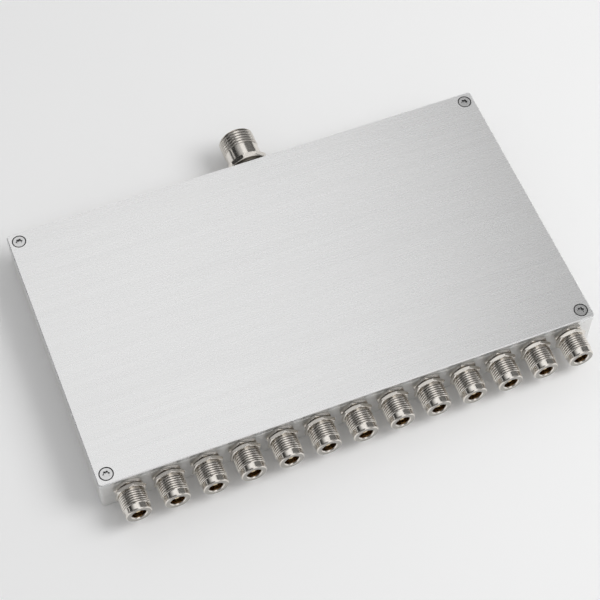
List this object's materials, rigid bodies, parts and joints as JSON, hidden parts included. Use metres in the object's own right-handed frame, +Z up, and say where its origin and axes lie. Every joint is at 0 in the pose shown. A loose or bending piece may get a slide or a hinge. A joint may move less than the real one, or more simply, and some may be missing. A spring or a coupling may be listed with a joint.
{
  "type": "rf power splitter",
  "caption": "Flat aluminium box with a row of threaded coaxial output jacks on its front wall and one larger input jack behind, dividing a radio signal between the outputs.",
  "frame": {"origin": "centre of the housing's flat underside", "axes": "+X along the row of output jacks, -Y out of that row, +Z up through the cover"},
  "size_m": [0.296, 0.2153, 0.0276],
  "materials": {
    "housing": "fine brushed, edges broken",
    "cover": "brushed along its length",
    "nickel": "nickel plated, turned",
    "gold": "gold plated",
    "insulator": "smooth",
    "steel": "turned",
    "board": "satin",
    "copper": "etched",
    "resistor": "matte"
  },
  "bodies": {
    "root": {"housing": "housing", "cover_plate": "cover", "cover_screws": "steel", "output_jam_nuts": "nickel", "input_shell": "nickel", "input_contact": "gold", "input_insulator": "insulator", "input_washer": "nickel", "circuit_board": "board", "splitter_traces": "copper", "isolation_resistors": "resistor", "board_screws": "steel", "output_shell_01": "nickel", "output_shell_02": "nickel", "output_shell_03": "nickel", "output_shell_04": "nickel", "output_shell_05": "nickel", "output_shell_06": "nickel", "output_shell_07": "nickel", "output_shell_08": "nickel", "output_shell_09": "nickel", "output_shell_10": "nickel", "output_shell_11": "nickel", "output_shell_12": "nickel", "output_shell_13": "nickel", "output_contact_01": "gold", "output_contact_02": "gold", "output_contact_03": "gold", "output_contact_04": "gold", "output_contact_05": "gold", "output_contact_06": "gold", "output_contact_07": "gold", "output_contact_08": "gold", "output_contact_09": "gold", "output_contact_10": "gold", "output_contact_11": "gold", "output_contact_12": "gold", "output_contact_13": "gold", "output_insulator_01": "insulator", "output_insulator_02": "insulator", "output_insulator_03": "insulator", "output_insulator_04": "insulator", "output_insulator_05": "insulator", "output_insulator_06": "insulator", "output_insulator_07": "insulator", "output_insulator_08": "insulator", "output_insulator_09": "insulator", "output_insulator_10": "insulator", "output_insulator_11": "insulator", "output_insulator_12": "insulator", "output_insulator_13": "insulator"}
  },
  "joints": []
}
